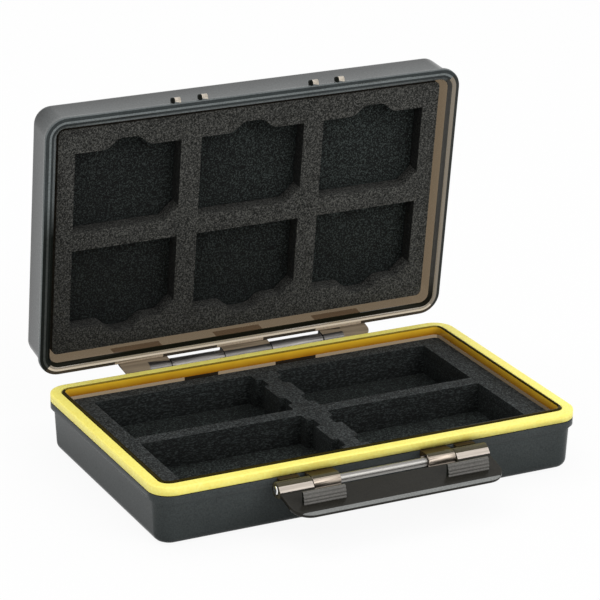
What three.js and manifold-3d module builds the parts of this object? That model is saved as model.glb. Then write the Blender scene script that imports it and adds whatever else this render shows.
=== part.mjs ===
import * as THREE from 'three';
import { mergeVertices } from 'three/addons/utils/BufferGeometryUtils.js';
import Module from 'manifold-3d';

const wasm = await Module();
wasm.setup();

// Battery case: millimetres, X right, Y to the hinge, Z up, origin under the middle of the base

// Card pockets in the lid foam
const cardPocketWidth = 33.2;
const cardPocketHeight = 25.2;
const cardPocketDepth = 4.6;
const cardCutCorner = 4.2;
const cardColumnRib = 6.4;
const cardRowRib = 5.8;
const cardColumns = 3;
const thumbNotchWidth = 16.2;
const thumbNotchShoulder = 6.5;
const thumbNotchDepth = 3.1;

// Cell pockets in the base foam, which fill it between these ribs and edges
const cellPocketDepth = 9.0;
const cellEndEdge = 7.3;
const cellFrontEdge = 4.75;
const cellEndRib = 8.4;
const cellSideRib = 4.8;
const nubNotchWidth = 6.4;
const nubNotchDepth = 1.8;
const nubNotchShoulder = 1.2;
const nubNotchPitch = 16.0;
const pocketCornerRadius = 0.7;

// Foam left round the card pockets, and the plain foam sheets behind both blocks
const cardSideEdge = 5.7;
const cardFrontEdge = 5.15;
const baseSheetThickness = 2.8;
const lidSheetThickness = 3.75;
const foamGap = 0.3;
const lidFoamTrim = 0.5;

// Rim, sealing ring and walls shared by the base and the lid
const rimCornerRadius = 6.4;
const ribThickness = 1.0;
const ribHeight = 2.72;
const ribEdge = 0.3;
const gasketWidth = 3.3;
const gasketHeight = 2.43;
const gasketShoulder = 0.45;
const gasketGap = 0.1;
const closedGap = 0.15;

// Base tub
const baseFloor = 2.7;
const foamBelowSeat = 0.9;
const baseRimHeight = 2.2;
const baseRimSlope = 1.1;
const baseRimOverhang = 1.1;
const baseDraft = 0.5;
const baseFootFillet = 2.4;
const rimEdge = 0.25;

// Lid tub
const lidRoof = 2.0;
const lidFoamRecess = 3.05;
const lidRimThickness = 1.45;
const lidRimOverhang = 0.9;
const lidWallThickness = 2.7;
const lidRimRound = 0.5;
const lidDraft = 0.35;
const lidRoofFillet = 2.2;
const rabbetSideGap = 0.85;
const rabbetDepth = 1.0;

// Hinge at the back
const hingeOutset = 2.65;
const hingeDrop = 1.35;
const hingeBarrelRadius = 2.4;
const hingePinRadius = 1.2;
const hingePinEngagement = 6.9;
const lidCentreKnuckle = 15.4;
const baseKnuckleLength = 17.1;
const lidOuterKnuckleLength = 15.6;
const lidKnuckleEndTaper = 4.2;
const knuckleGap = 0.3;
const pinGap = 0.3;
const lidOpenAngle = 82.7;

// Latch at the front
const latchOutset = 3.67;
const latchDrop = 2.22;
const latchBarrelRadius = 2.3;
const latchPinRadius = 1.3;
const latchPinDome = 0.45;
const latchWidth = 65.5;
const latchKnuckleLength = 10.3;
const latchBaseKnuckle = 8.3;
const latchPlateStart = 3.0;
const latchPlateReach = 14.1;
const latchPlateThickness = 1.3;
const latchPlateFace = 0.5;
const latchPlateCorner = 5.5;
const latchPlateHeel = 0.8;
const latchPlateEdge = 0.35;
const rubbingPadLength = 6.0;
const rubbingPadHeight = 1.6;
const latchDroopAngle = 12;

// Hooks on the latch and the lid lugs that they catch
const hookStart = 15.9;
const hookLength = 12.9;
const hookTipAngle = 26;
const hookTipThickness = 0.55;
const hookRootThickness = 1.2;
const hookGripRibs = 4;
const hookGripHeight = 0.28;
const lugPairCentre = 22.05;
const lugPitch = 8.5;
const lugWidth = 2.6;
const lugBeadRadius = 0.85;
const lugBeadOutset = 0.5;
const lugBeadRise = 1.5;
const catchGap = 0.25;

// Fineness of curves
const cornerDivisions = 5;
const roundSegments = 32;
const filletSteps = 5;
const gripSteps = 24;
const plateEdgeSteps = 3;
const weldEmbed = 0.05;
const weldTolerance = 0.002;
const cutPast = 1;

// Sizes that follow from the cards and the walls
const cardsAcross = cardColumns * cardPocketWidth + (cardColumns - 1) * cardColumnRib;
const cardsDown = 2 * (cardPocketHeight + thumbNotchDepth) + cardRowRib;
const foamWidth = cardsAcross + 2 * cardSideEdge;
const foamDepth = cardsDown + 2 * cardFrontEdge;
const cellPocketLength = (foamWidth - cellEndRib) / 2 - cellEndEdge;
const cellPocketWidth = (foamDepth - cellSideRib) / 2 - cellFrontEdge;
const ribOuterInset = gasketWidth + gasketGap;
const wallInset = ribOuterInset + ribThickness;
const caseWidth = foamWidth + 2 * (foamGap + wallInset);
const caseDepth = foamDepth + 2 * (foamGap + wallInset);
const cavityRadius = rimCornerRadius - wallInset;

// Levels of the base, from the surface it rests on
const baseFoamBottom = baseFloor + baseSheetThickness;
const baseFoamTop = baseFoamBottom + cellPocketDepth;
const seatLevel = baseFoamTop + foamBelowSeat;
const ribTop = seatLevel + ribHeight;
const baseRimBottom = seatLevel - baseRimHeight;
const lidRimLevel = seatLevel + gasketHeight + closedGap;

// Levels of the lid, from its own rim outward
const lidSheetBottom = lidFoamRecess + cardPocketDepth + foamGap;
const lidCavityDepth = lidSheetBottom + lidSheetThickness + foamGap;
const lidHeight = lidCavityDepth + lidRoof;
const lidWallInset = lidRimOverhang + lidWallThickness;

// Axes of the two pins
const hingeY = caseDepth / 2 + hingeOutset;
const hingeZ = lidRimLevel - hingeDrop;
const latchY = -caseDepth / 2 - latchOutset;
const latchZ = seatLevel - latchDrop;

// Rounded rectangle about the origin
function roundedRect(width, depth, radius) {
  const x = width / 2 - radius;
  const y = depth / 2 - radius;
  const outline = new THREE.Shape();
  outline.absarc(x, y, radius, 0, Math.PI / 2);
  outline.absarc(-x, y, radius, Math.PI / 2, Math.PI);
  outline.absarc(-x, -y, radius, Math.PI, 1.5 * Math.PI);
  outline.absarc(x, -y, radius, 1.5 * Math.PI, 2 * Math.PI);
  outline.closePath();
  return outline;
}

// One turn of the rim outline, a set distance in from the rim edge
function rimTurn(inset) {
  const width = caseWidth - 2 * inset;
  const depth = caseDepth - 2 * inset;
  const points = roundedRect(width, depth, rimCornerRadius - inset).getPoints(cornerDivisions);
  if (points[0].distanceTo(points[points.length - 1]) < weldTolerance) {
    points.pop();
  }
  return points;
}

// Wall profile of inset and height carried round the rim, open profiles being closed by a floor and a roof
function sweepRound(profile, ringShaped) {
  const turns = profile.map(([inset]) => rimTurn(inset));
  const count = turns[0].length;
  const positions = [];
  const index = [];
  turns.forEach((turn, step) => turn.forEach((p) => positions.push(p.x, p.y, profile[step][1])));
  const lastStep = ringShaped ? turns.length : turns.length - 1;
  for (let step = 0; step < lastStep; step += 1) {
    const here = step * count;
    const there = ((step + 1) % turns.length) * count;
    for (let side = 0; side < count; side += 1) {
      const next = (side + 1) % count;
      index.push(here + side, here + next, there + next);
      index.push(here + side, there + next, there + side);
    }
  }
  if (!ringShaped) {
    const top = (turns.length - 1) * count;
    for (const [a, b, c] of THREE.ShapeUtils.triangulateShape(turns[0], [])) {
      index.push(c, b, a);
    }
    for (const [a, b, c] of THREE.ShapeUtils.triangulateShape(turns[turns.length - 1], [])) {
      index.push(top + a, top + b, top + c);
    }
  }
  const geometry = new THREE.BufferGeometry();
  geometry.setAttribute('position', new THREE.Float32BufferAttribute(positions, 3));
  geometry.setIndex(index);
  return geometry;
}

// Quarter-round steps of a fillet, as inset and height pairs about its centre
function quarterRound(centreInset, centreLevel, radius, fromAngle, toAngle) {
  const steps = [];
  for (let i = 0; i <= filletSteps; i += 1) {
    const angle = THREE.MathUtils.degToRad(fromAngle + ((toAngle - fromAngle) * i) / filletSteps);
    steps.push([centreInset - radius * Math.cos(angle), centreLevel + radius * Math.sin(angle)]);
  }
  return steps;
}

// Points of a circle in the Y and Z plane
function circlePoints(y, z, radius) {
  return new THREE.EllipseCurve(y, z, radius, radius, 0, 2 * Math.PI).getPoints(roundSegments).slice(1);
}

// Outline stretched like a band round a set of points
function bandShape(points) {
  const sorted = [...points].sort((a, b) => a.x - b.x || a.y - b.y);
  const turnsLeft = (o, a, b) => (a.x - o.x) * (b.y - o.y) - (a.y - o.y) * (b.x - o.x) > 0;
  const chain = (list) => {
    const kept = [];
    for (const point of list) {
      while (kept.length > 1 && !turnsLeft(kept[kept.length - 2], kept[kept.length - 1], point)) {
        kept.pop();
      }
      kept.push(point);
    }
    kept.pop();
    return kept;
  };
  return new THREE.Shape([...chain(sorted), ...chain(sorted.reverse())]);
}

// Profile in the Y and Z plane drawn out along X
function barAlongX(shape, fromX, toX) {
  const bar = new THREE.ExtrudeGeometry(shape, { depth: toX - fromX, bevelEnabled: false });
  const turn = new THREE.Matrix4().makeBasis(
    new THREE.Vector3(0, 1, 0),
    new THREE.Vector3(0, 0, 1),
    new THREE.Vector3(1, 0, 0),
  );
  return bar.applyMatrix4(turn).translate(fromX, 0, 0);
}

// The same bar on the left and on the right
function barPair(shape, innerX, outerX) {
  return [barAlongX(shape, innerX, outerX), barAlongX(shape, -outerX, -innerX)];
}

// Round bar along X about a pin axis
function rodAlongX(y, z, radius, fromX, toX) {
  return barAlongX(new THREE.Shape(circlePoints(y, z, radius)), fromX, toX);
}

// Sheet in the X and Y plane drawn up in Z
function sheetUp(shape, fromZ, toZ) {
  const settings = { depth: toZ - fromZ, bevelEnabled: false, curveSegments: 2 * cornerDivisions };
  return new THREE.ExtrudeGeometry(shape, settings).translate(0, 0, fromZ);
}

// Turned pin along X from a half profile of length and radius
function pinAlongX(profile) {
  const half = profile.map(([along, radius]) => new THREE.Vector2(radius, along));
  return new THREE.LatheGeometry(half, roundSegments).rotateZ(-Math.PI / 2);
}

function toManifold(geometry) {
  const bare = geometry.clone();
  bare.deleteAttribute('normal');
  bare.deleteAttribute('uv');
  const welded = mergeVertices(bare, weldTolerance);
  const vertProperties = new Float32Array(welded.attributes.position.array);
  const triVerts = new Uint32Array(welded.index.array);
  return new wasm.Manifold(new wasm.Mesh({ numProp: 3, vertProperties, triVerts }));
}

// One solid from the pieces that are joined less the pieces that are cut away
function shaped(joined, cutAway) {
  let body = toManifold(joined[0]);
  for (const piece of joined.slice(1)) {
    body = body.add(toManifold(piece));
  }
  for (const piece of cutAway) {
    body = body.subtract(toManifold(piece));
  }
  const mesh = body.getMesh();
  const geometry = new THREE.BufferGeometry();
  geometry.setAttribute('position', new THREE.Float32BufferAttribute(mesh.vertProperties, 3));
  geometry.setIndex(new THREE.Uint32BufferAttribute(mesh.triVerts, 1));
  geometry.computeVertexNormals();
  return geometry;
}

function addPiece(group, name, geometry, look) {
  const mesh = new THREE.Mesh(geometry, new THREE.MeshStandardMaterial({ name, ...look }));
  mesh.name = name;
  group.add(mesh);
}

const smoke = { color: 0x4a4d4e, roughness: 0.22, metalness: 0, transparent: true, opacity: 0.8 };
const foam = { color: 0x33322f, roughness: 0.95, metalness: 0 };
const steel = { color: 0xb9b4aa, roughness: 0.3, metalness: 1 };
const seal = { color: 0xf7e86a, roughness: 0.5, metalness: 0 };

// Rim faces that the knuckles and lugs grow from
const rearFace = caseDepth / 2 - weldEmbed;
const frontFace = -rearFace;
const baseRootLow = baseRimBottom + rimEdge;
const baseRootHigh = seatLevel - rimEdge;
const lidRootLow = lidRimLevel + lidRimRound;
const lidRootHigh = lidRimLevel + lidRimThickness - rimEdge;

// Knuckle positions along X
const baseHingeInner = lidCentreKnuckle / 2 + knuckleGap;
const baseHingeOuter = baseHingeInner + baseKnuckleLength;
const lidHingeInner = baseHingeOuter + knuckleGap;
const lidHingeOuter = lidHingeInner + lidOuterKnuckleLength;
const hingePinEnd = lidHingeInner + hingePinEngagement;
const latchOuter = latchWidth / 2;
const latchInner = latchOuter - latchKnuckleLength;
const latchBaseOuter = latchInner - knuckleGap;
const latchBaseInner = latchBaseOuter - latchBaseKnuckle;
const latchPinEnd = latchOuter + latchPinDome;

const hingeCircle = circlePoints(hingeY, hingeZ, hingeBarrelRadius);
const hingeBoreEnd = hingePinEnd + pinGap;
const hingeBore = rodAlongX(hingeY, hingeZ, hingePinRadius + pinGap, -hingeBoreEnd, hingeBoreEnd);

// Base tub from its foot, out round the rim, over the rib and down to the floor inside
const footInset = baseRimOverhang + baseDraft;
const baseTub = sweepRound([
  ...quarterRound(footInset + baseFootFillet, baseFootFillet, baseFootFillet, -90, 0),
  [baseRimOverhang, baseRimBottom - baseRimSlope],
  [0, baseRimBottom],
  [0, seatLevel - rimEdge],
  [rimEdge, seatLevel],
  [ribOuterInset, seatLevel],
  [ribOuterInset, ribTop - ribEdge],
  [ribOuterInset + ribEdge, ribTop],
  [wallInset - ribEdge, ribTop],
  [wallInset, ribTop - ribEdge],
  [wallInset, baseFloor],
], false);

const baseHingeArm = bandShape([
  ...hingeCircle,
  new THREE.Vector2(rearFace, baseRootLow),
  new THREE.Vector2(rearFace, baseRootHigh),
]);
const baseLatchArm = bandShape([
  ...circlePoints(latchY, latchZ, latchBarrelRadius),
  new THREE.Vector2(frontFace, baseRootLow),
  new THREE.Vector2(frontFace, baseRootHigh),
]);

// Pad behind each latch knuckle, hollowed to follow the knuckle
const padMiddle = latchInner + latchKnuckleLength / 2;
const padFront = latchY + latchBarrelRadius / 2;
const rubbingPad = new THREE.Shape([
  new THREE.Vector2(frontFace, baseRootHigh - rubbingPadHeight),
  new THREE.Vector2(frontFace, baseRootHigh),
  new THREE.Vector2(padFront, baseRootHigh),
  new THREE.Vector2(padFront, baseRootHigh - rubbingPadHeight),
]);
const padHollow = barPair(
  new THREE.Shape(circlePoints(latchY, latchZ, latchBarrelRadius + knuckleGap)),
  latchInner - knuckleGap,
  latchOuter,
);
const latchBore = rodAlongX(latchY, latchZ, latchPinRadius + pinGap, -latchPinEnd, latchPinEnd);

const battery_case = new THREE.Group();
battery_case.name = 'battery_case';

const baseSolid = shaped(
  [
    baseTub,
    ...barPair(baseHingeArm, baseHingeInner, baseHingeOuter),
    ...barPair(baseLatchArm, latchBaseInner, latchBaseOuter),
    ...barPair(rubbingPad, padMiddle - rubbingPadLength / 2, padMiddle + rubbingPadLength / 2),
  ],
  [hingeBore, latchBore, ...padHollow],
);
addPiece(battery_case, 'base_shell', baseSolid, smoke);

// Sealing ring with rounded shoulders on the seat outside the rib
const gasketTop = seatLevel + gasketHeight;
const gasketRing = sweepRound([
  [0, seatLevel],
  ...quarterRound(gasketShoulder, gasketTop - gasketShoulder, gasketShoulder, 0, 90),
  ...quarterRound(gasketWidth - gasketShoulder, gasketTop - gasketShoulder, gasketShoulder, 90, 180),
  [gasketWidth, seatLevel],
], true);
addPiece(battery_case, 'gasket', shaped([gasketRing], []), seal);

// Notch with soft shoulders cut outward from the edge of a pocket
function addNotch(pocket, start, end, outward, shoulder) {
  const along = end.clone().sub(start).setLength(shoulder);
  const startBend = start.clone().addScaledVector(along, 1 / 2);
  const endBend = end.clone().addScaledVector(along, -1 / 2);
  const startFloor = start.clone().add(along).add(outward);
  const endFloor = end.clone().sub(along).add(outward);
  const startDip = startBend.clone().add(outward);
  const endDip = endBend.clone().add(outward);
  pocket.lineTo(start.x, start.y);
  pocket.bezierCurveTo(startBend.x, startBend.y, startDip.x, startDip.y, startFloor.x, startFloor.y);
  pocket.lineTo(endFloor.x, endFloor.y);
  pocket.bezierCurveTo(endDip.x, endDip.y, endBend.x, endBend.y, end.x, end.y);
}

// Pocket for a pair of cells side by side, with a notch for each terminal at the end by the middle rib
function cellPocket(sideX, sideY) {
  const nearX = (sideX * cellEndRib) / 2;
  const farX = nearX + sideX * cellPocketLength;
  const middleY = (sideY * (cellSideRib + cellPocketWidth)) / 2;
  const lowY = middleY - cellPocketWidth / 2;
  const highY = middleY + cellPocketWidth / 2;
  const nearBend = nearX + sideX * pocketCornerRadius;
  const farBend = farX - sideX * pocketCornerRadius;
  const outward = new THREE.Vector2(-sideX * nubNotchDepth, 0);
  const pocket = new THREE.Shape();
  pocket.moveTo(nearBend, highY);
  pocket.lineTo(farBend, highY);
  pocket.quadraticCurveTo(farX, highY, farX, highY - pocketCornerRadius);
  pocket.lineTo(farX, lowY + pocketCornerRadius);
  pocket.quadraticCurveTo(farX, lowY, farBend, lowY);
  pocket.lineTo(nearBend, lowY);
  pocket.quadraticCurveTo(nearX, lowY, nearX, lowY + pocketCornerRadius);
  for (const step of [-1, 1]) {
    const notchY = middleY + (step * nubNotchPitch) / 2;
    const start = new THREE.Vector2(nearX, notchY - nubNotchWidth / 2);
    const end = new THREE.Vector2(nearX, notchY + nubNotchWidth / 2);
    addNotch(pocket, start, end, outward, nubNotchShoulder);
  }
  pocket.lineTo(nearX, highY - pocketCornerRadius);
  pocket.quadraticCurveTo(nearX, highY, nearBend, highY);
  return pocket;
}

// Foam block between two levels, trimmed round its edge, with pockets cut right through it
const foamCorner = cavityRadius - foamGap;
function foamBlock(pockets, bottom, top, trim = 0) {
  const outline = roundedRect(foamWidth - 2 * trim, foamDepth - 2 * trim, foamCorner);
  const block = sheetUp(outline, bottom, top);
  return shaped([block], pockets.map((pocket) => sheetUp(pocket, bottom - cutPast, top + cutPast)));
}

const cellPockets = [-1, 1].flatMap((sideX) => [-1, 1].map((sideY) => cellPocket(sideX, sideY)));
addPiece(battery_case, 'base_foam', foamBlock(cellPockets, baseFoamBottom, baseFoamTop), foam);
addPiece(battery_case, 'base_floor_foam', foamBlock([], baseFloor, baseFoamBottom), foam);

// Steel pins, the latch pin with domed ends that stand out of the knuckles
const hingePin = pinAlongX([
  [-hingePinEnd, 0],
  [-hingePinEnd, hingePinRadius - rimEdge],
  [-hingePinEnd + rimEdge, hingePinRadius],
  [hingePinEnd - rimEdge, hingePinRadius],
  [hingePinEnd, hingePinRadius - rimEdge],
  [hingePinEnd, 0],
]).translate(0, hingeY, hingeZ);
addPiece(battery_case, 'hinge_pin', shaped([hingePin], []), steel);

const domeProfile = [];
for (let i = 0; i <= filletSteps; i += 1) {
  const angle = (Math.PI / 2) * (i / filletSteps);
  domeProfile.push([latchOuter + latchPinDome * Math.cos(angle), latchPinRadius * Math.sin(angle)]);
}
domeProfile[0][1] = 0;
const latchPin = pinAlongX([
  ...domeProfile.map(([along, radius]) => [-along, radius]),
  ...domeProfile.reverse(),
]).translate(0, latchY, latchZ);
addPiece(battery_case, 'latch_pin', shaped([latchPin], []), steel);

// Lid pieces are drawn closed over the base and then turned open about the hinge
const lid = new THREE.Group();
lid.name = 'lid';
battery_case.add(lid);

function lidLevel(height) {
  return lidRimLevel + height;
}

// Lid tub from the roof inside, down the cavity, round the rim and up to the roof outside
const lidRoofInset = lidRimOverhang + lidDraft + lidRoofFillet;
const ridgeInner = ribOuterInset - rabbetSideGap;
const lidTub = sweepRound([
  [lidWallInset, lidLevel(lidCavityDepth)],
  [lidWallInset, lidLevel(rabbetDepth)],
  [ridgeInner, lidLevel(rabbetDepth)],
  [ridgeInner, lidRimLevel],
  ...quarterRound(lidRimRound, lidLevel(lidRimRound), lidRimRound, -90, 0),
  [0, lidLevel(lidRimThickness - rimEdge)],
  [rimEdge, lidLevel(lidRimThickness)],
  [lidRimOverhang, lidLevel(lidRimThickness)],
  ...quarterRound(lidRoofInset, lidLevel(lidHeight - lidRoofFillet), lidRoofFillet, 0, 90),
], false);

const lidHingeArm = bandShape([
  ...hingeCircle,
  new THREE.Vector2(rearFace, lidRootLow),
  new THREE.Vector2(rearFace, lidRootHigh),
]);

// Beaded lug on the front edge of the lid rim
const lugY = -caseDepth / 2 - lugBeadOutset;
const lugZ = lidLevel(lugBeadRise);
const catchLug = bandShape([
  ...circlePoints(lugY, lugZ, lugBeadRadius),
  new THREE.Vector2(frontFace, lidRootLow),
  new THREE.Vector2(frontFace + lidRimOverhang, lidRootHigh),
]);
const catchLugs = [-1, 1].flatMap((step) => {
  const middle = lugPairCentre + (step * lugPitch) / 2;
  return barPair(catchLug, middle - lugWidth / 2, middle + lugWidth / 2);
});

// Space outside the tapered outer end of a lid knuckle, on the right or the left
const knuckleTip = hingeY + hingeBarrelRadius;
function knuckleTaper(side) {
  const outerX = side * lidHingeOuter;
  const innerX = side * (lidHingeOuter - lidKnuckleEndTaper);
  const pastX = side * (lidHingeOuter + cutPast);
  const taperStart = caseDepth / 2 + rimEdge;
  const taper = new THREE.Shape();
  taper.moveTo(outerX, taperStart);
  taper.quadraticCurveTo(outerX, hingeY - hingeBarrelRadius / 2, innerX, knuckleTip);
  taper.lineTo(innerX, knuckleTip + cutPast);
  taper.lineTo(pastX, knuckleTip + cutPast);
  taper.lineTo(pastX, taperStart);
  taper.closePath();
  return sheetUp(taper, hingeZ - hingeBarrelRadius - cutPast, lidLevel(lidRimThickness) + cutPast);
}

function addLidPiece(name, geometry, look) {
  addPiece(lid, name, geometry.translate(0, -hingeY, -hingeZ), look);
}

const lidSolid = shaped(
  [
    lidTub,
    barAlongX(lidHingeArm, -lidCentreKnuckle / 2, lidCentreKnuckle / 2),
    ...barPair(lidHingeArm, lidHingeInner, lidHingeOuter),
    ...catchLugs,
  ],
  [hingeBore, knuckleTaper(-1), knuckleTaper(1)],
);
addLidPiece('lid_shell', lidSolid, smoke);

// Card pocket with one cut corner and a thumb notch on the side away from the middle rib
function cardPocket(column, side) {
  const middleX = (column - (cardColumns - 1) / 2) * (cardPocketWidth + cardColumnRib);
  const left = middleX - cardPocketWidth / 2;
  const right = middleX + cardPocketWidth / 2;
  const middleY = (side * (cardRowRib + cardPocketHeight)) / 2;
  const rear = middleY + cardPocketHeight / 2;
  const front = middleY - cardPocketHeight / 2;
  const notchEdge = side > 0 ? rear : front;
  const notchStart = new THREE.Vector2(middleX + (side * thumbNotchWidth) / 2, notchEdge);
  const notchEnd = new THREE.Vector2(middleX - (side * thumbNotchWidth) / 2, notchEdge);
  const outward = new THREE.Vector2(0, side * thumbNotchDepth);
  const pocket = new THREE.Shape();
  pocket.moveTo(left, front);
  if (side < 0) {
    addNotch(pocket, notchStart, notchEnd, outward, thumbNotchShoulder);
  }
  pocket.lineTo(right, front);
  pocket.lineTo(right, rear - cardCutCorner);
  pocket.lineTo(right - cardCutCorner, rear);
  if (side > 0) {
    addNotch(pocket, notchStart, notchEnd, outward, thumbNotchShoulder);
  }
  pocket.lineTo(left, rear);
  pocket.closePath();
  return pocket;
}

const cardPockets = [-1, 1].flatMap((side) => {
  const row = [];
  for (let column = 0; column < cardColumns; column += 1) {
    row.push(cardPocket(column, side));
  }
  return row;
});
const lidFoamTop = lidLevel(lidFoamRecess + cardPocketDepth);
const lidFoamBlock = foamBlock(cardPockets, lidLevel(lidFoamRecess), lidFoamTop, lidFoamTrim);
addLidPiece('lid_foam', lidFoamBlock, foam);

const lidSheetTop = lidLevel(lidSheetBottom + lidSheetThickness);
const lidBacking = foamBlock([], lidLevel(lidSheetBottom), lidSheetTop, lidFoamTrim);
addLidPiece('lid_backing_foam', lidBacking, foam);

lid.position.set(0, hingeY, hingeZ);
lid.rotation.x = -THREE.MathUtils.degToRad(lidOpenAngle);

// Latch drawn level about its pin, the plate reaching forward, and then drooped
const latchGroup = new THREE.Group();
latchGroup.name = 'latch_group';
battery_case.add(latchGroup);

const plateBack = latchPlateFace - latchPlateThickness;
const plateRoot = -latchPlateStart - latchPlateHeel;
const plateOutline = new THREE.Shape();
plateOutline.moveTo(-latchOuter + latchPlateHeel, -latchPlateStart);
plateOutline.quadraticCurveTo(-latchOuter, -latchPlateStart, -latchOuter, plateRoot);
plateOutline.absarc(
  -latchOuter + latchPlateCorner, -latchPlateReach + latchPlateCorner, latchPlateCorner,
  Math.PI, 1.5 * Math.PI,
);
plateOutline.absarc(
  latchOuter - latchPlateCorner, -latchPlateReach + latchPlateCorner, latchPlateCorner,
  1.5 * Math.PI, 2 * Math.PI,
);
plateOutline.lineTo(latchOuter, plateRoot);
plateOutline.quadraticCurveTo(latchOuter, -latchPlateStart, latchOuter - latchPlateHeel, -latchPlateStart);
plateOutline.closePath();
const latchPlate = new THREE.ExtrudeGeometry(plateOutline, {
  depth: latchPlateThickness - 2 * latchPlateEdge,
  bevelThickness: latchPlateEdge,
  bevelSize: latchPlateEdge,
  bevelOffset: -latchPlateEdge,
  bevelSegments: plateEdgeSteps,
  curveSegments: 2 * cornerDivisions,
}).translate(0, 0, plateBack + latchPlateEdge);

const latchKnuckle = bandShape([
  ...circlePoints(0, 0, latchBarrelRadius),
  new THREE.Vector2(plateRoot, plateBack + latchPlateEdge),
  new THREE.Vector2(plateRoot, latchPlateFace - latchPlateEdge),
]);

// Hook whose inside follows the path of the lug beads, with grip ribs along its outside
const beadPath = Math.hypot(lugY - latchY, lugZ - latchZ);
const hookRadius = beadPath + lugBeadRadius + catchGap;
const hookRootAngle = Math.asin(latchPlateFace / hookRadius);
const hookInside = new THREE.EllipseCurve(
  0, 0, hookRadius, hookRadius,
  Math.PI - hookRootAngle, Math.PI - THREE.MathUtils.degToRad(hookTipAngle), true,
).getPoints(roundSegments / 2);
const hookTip = hookInside[hookInside.length - 1];
const tipOutward = hookTip.clone().normalize();
const hookOuterTip = hookTip.clone().addScaledVector(tipOutward, hookTipThickness);
const hookFoot = new THREE.Vector2(hookInside[0].x, latchPlateFace - latchPlateEdge);
const hookOuterRoot = new THREE.Vector2(hookFoot.x - hookRootThickness, hookFoot.y);
const hookBulge = new THREE.Vector2(hookOuterRoot.x, (hookOuterTip.y + hookOuterRoot.y) / 2);
const hookBack = new THREE.QuadraticBezierCurve(hookOuterTip, hookBulge, hookOuterRoot);
const hookOutside = [];
for (let i = 0; i <= gripSteps; i += 1) {
  const along = i / gripSteps;
  const heading = hookBack.getTangent(along);
  const outward = new THREE.Vector2(heading.y, -heading.x);
  const swell = hookGripHeight * Math.abs(Math.sin(Math.PI * hookGripRibs * along));
  hookOutside.push(hookBack.getPoint(along).addScaledVector(outward, swell));
}
const hookProfile = new THREE.Shape([hookFoot, ...hookInside, ...hookOutside]);

const levelBore = rodAlongX(0, 0, latchPinRadius + pinGap, -latchPinEnd, latchPinEnd);
const latchSolid = shaped(
  [
    latchPlate,
    ...barPair(latchKnuckle, latchInner, latchOuter),
    ...barPair(hookProfile, hookStart, hookStart + hookLength),
  ],
  [levelBore],
);
addPiece(latchGroup, 'latch', latchSolid, smoke);
latchGroup.position.set(0, latchY, latchZ);
latchGroup.rotation.x = THREE.MathUtils.degToRad(latchDroopAngle);

export default battery_case;
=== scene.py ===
import math

import bpy
from mathutils import Matrix, Vector


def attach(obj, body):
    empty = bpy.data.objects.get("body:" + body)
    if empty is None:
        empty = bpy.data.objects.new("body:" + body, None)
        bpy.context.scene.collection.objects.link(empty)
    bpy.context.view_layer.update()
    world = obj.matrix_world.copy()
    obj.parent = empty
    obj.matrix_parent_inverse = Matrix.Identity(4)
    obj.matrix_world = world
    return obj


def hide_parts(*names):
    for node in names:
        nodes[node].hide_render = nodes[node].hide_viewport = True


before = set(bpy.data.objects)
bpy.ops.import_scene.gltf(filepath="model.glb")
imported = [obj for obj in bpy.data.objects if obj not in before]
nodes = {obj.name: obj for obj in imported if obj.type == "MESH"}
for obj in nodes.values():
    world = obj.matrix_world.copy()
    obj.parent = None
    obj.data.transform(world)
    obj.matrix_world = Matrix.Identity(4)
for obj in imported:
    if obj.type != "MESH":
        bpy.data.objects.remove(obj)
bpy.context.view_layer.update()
bpy.ops.object.select_all(action="DESELECT")
print("battery case: packed frame loaded")

noiseMiddle = 0.5
unscaled = (1.0, 1.0, 1.0)
white = (1.0, 1.0, 1.0)
black = (0.0, 0.0, 0.0)


class Feed:
    # one socket of a material, with sums that add their own Math nodes

    def __init__(self, finish, socket):
        self.finish = finish
        self.socket = socket

    def maths(self, operation, left, right):
        return self.finish.node("Math", {"operation": operation}, {0: left, 1: right})

    def __add__(self, other):
        return self.maths("ADD", self, other)

    def __radd__(self, other):
        return self.maths("ADD", other, self)

    def __sub__(self, other):
        return self.maths("SUBTRACT", self, other)

    def __rsub__(self, other):
        return self.maths("SUBTRACT", other, self)

    def __mul__(self, other):
        return self.maths("MULTIPLY", self, other)

    def __rmul__(self, other):
        return self.maths("MULTIPLY", other, self)

    def __lt__(self, other):
        return self.maths("LESS_THAN", self, other)

    def __abs__(self):
        return self.maths("ABSOLUTE", self, 0.0)

    # how far a noise lies from its middle
    def swing(self):
        return self - noiseMiddle


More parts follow.
